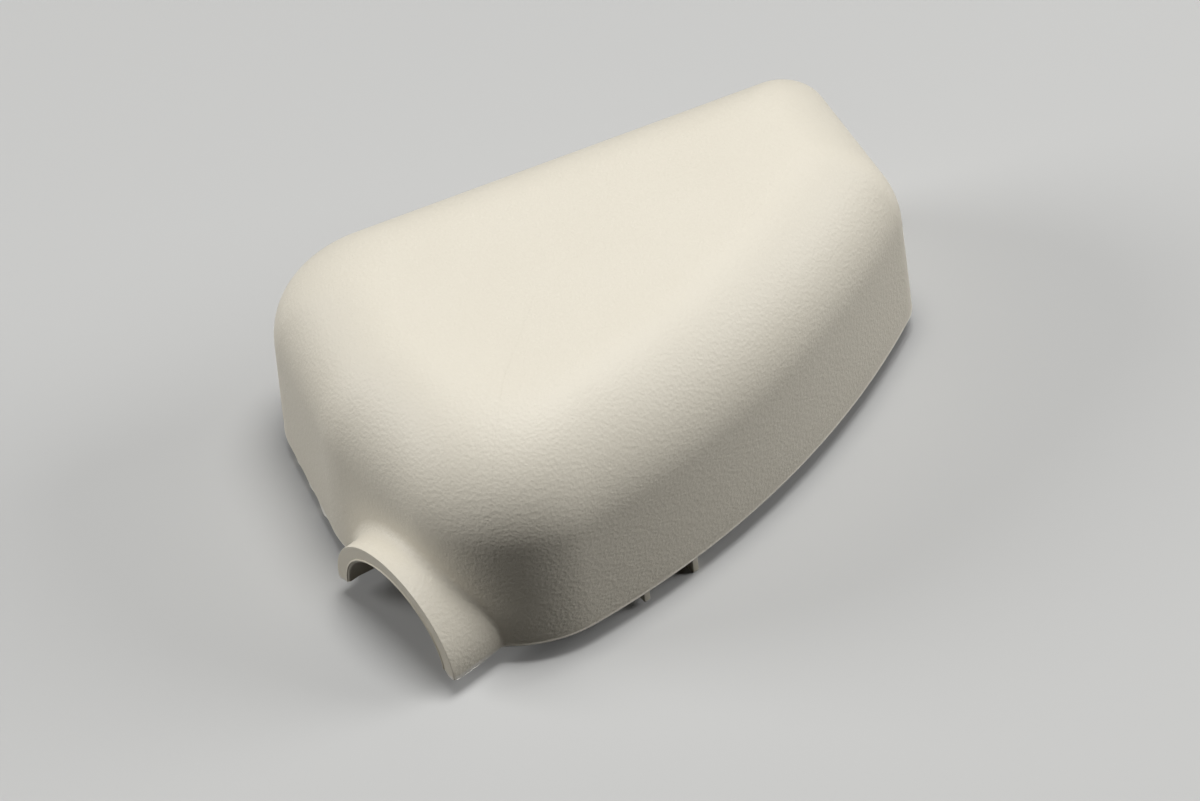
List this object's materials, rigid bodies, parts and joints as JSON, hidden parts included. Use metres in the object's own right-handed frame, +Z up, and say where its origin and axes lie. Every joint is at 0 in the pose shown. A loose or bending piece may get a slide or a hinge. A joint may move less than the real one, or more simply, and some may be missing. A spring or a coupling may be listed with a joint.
{
  "type": "wing mirror cover",
  "caption": "Moulded off-white wing mirror cover, a rounded tapering shell open below with a half-round stalk collar at one corner.",
  "frame": {"origin": "middle of the bounding box, on the plane that the cover stands on, which the long locating ribs touch", "axes": "+X along the straight far side, from the collar's end to the narrow end; +Y from the bowed near side to the straight far side; +Z up, from the open rim to the closed top"},
  "size_m": [0.1596, 0.1086, 0.0625],
  "materials": {
    "cover_plastic": "matte, finely grained"
  },
  "bodies": {
    "root": {"mirror_cover": "cover_plastic"}
  },
  "joints": []
}
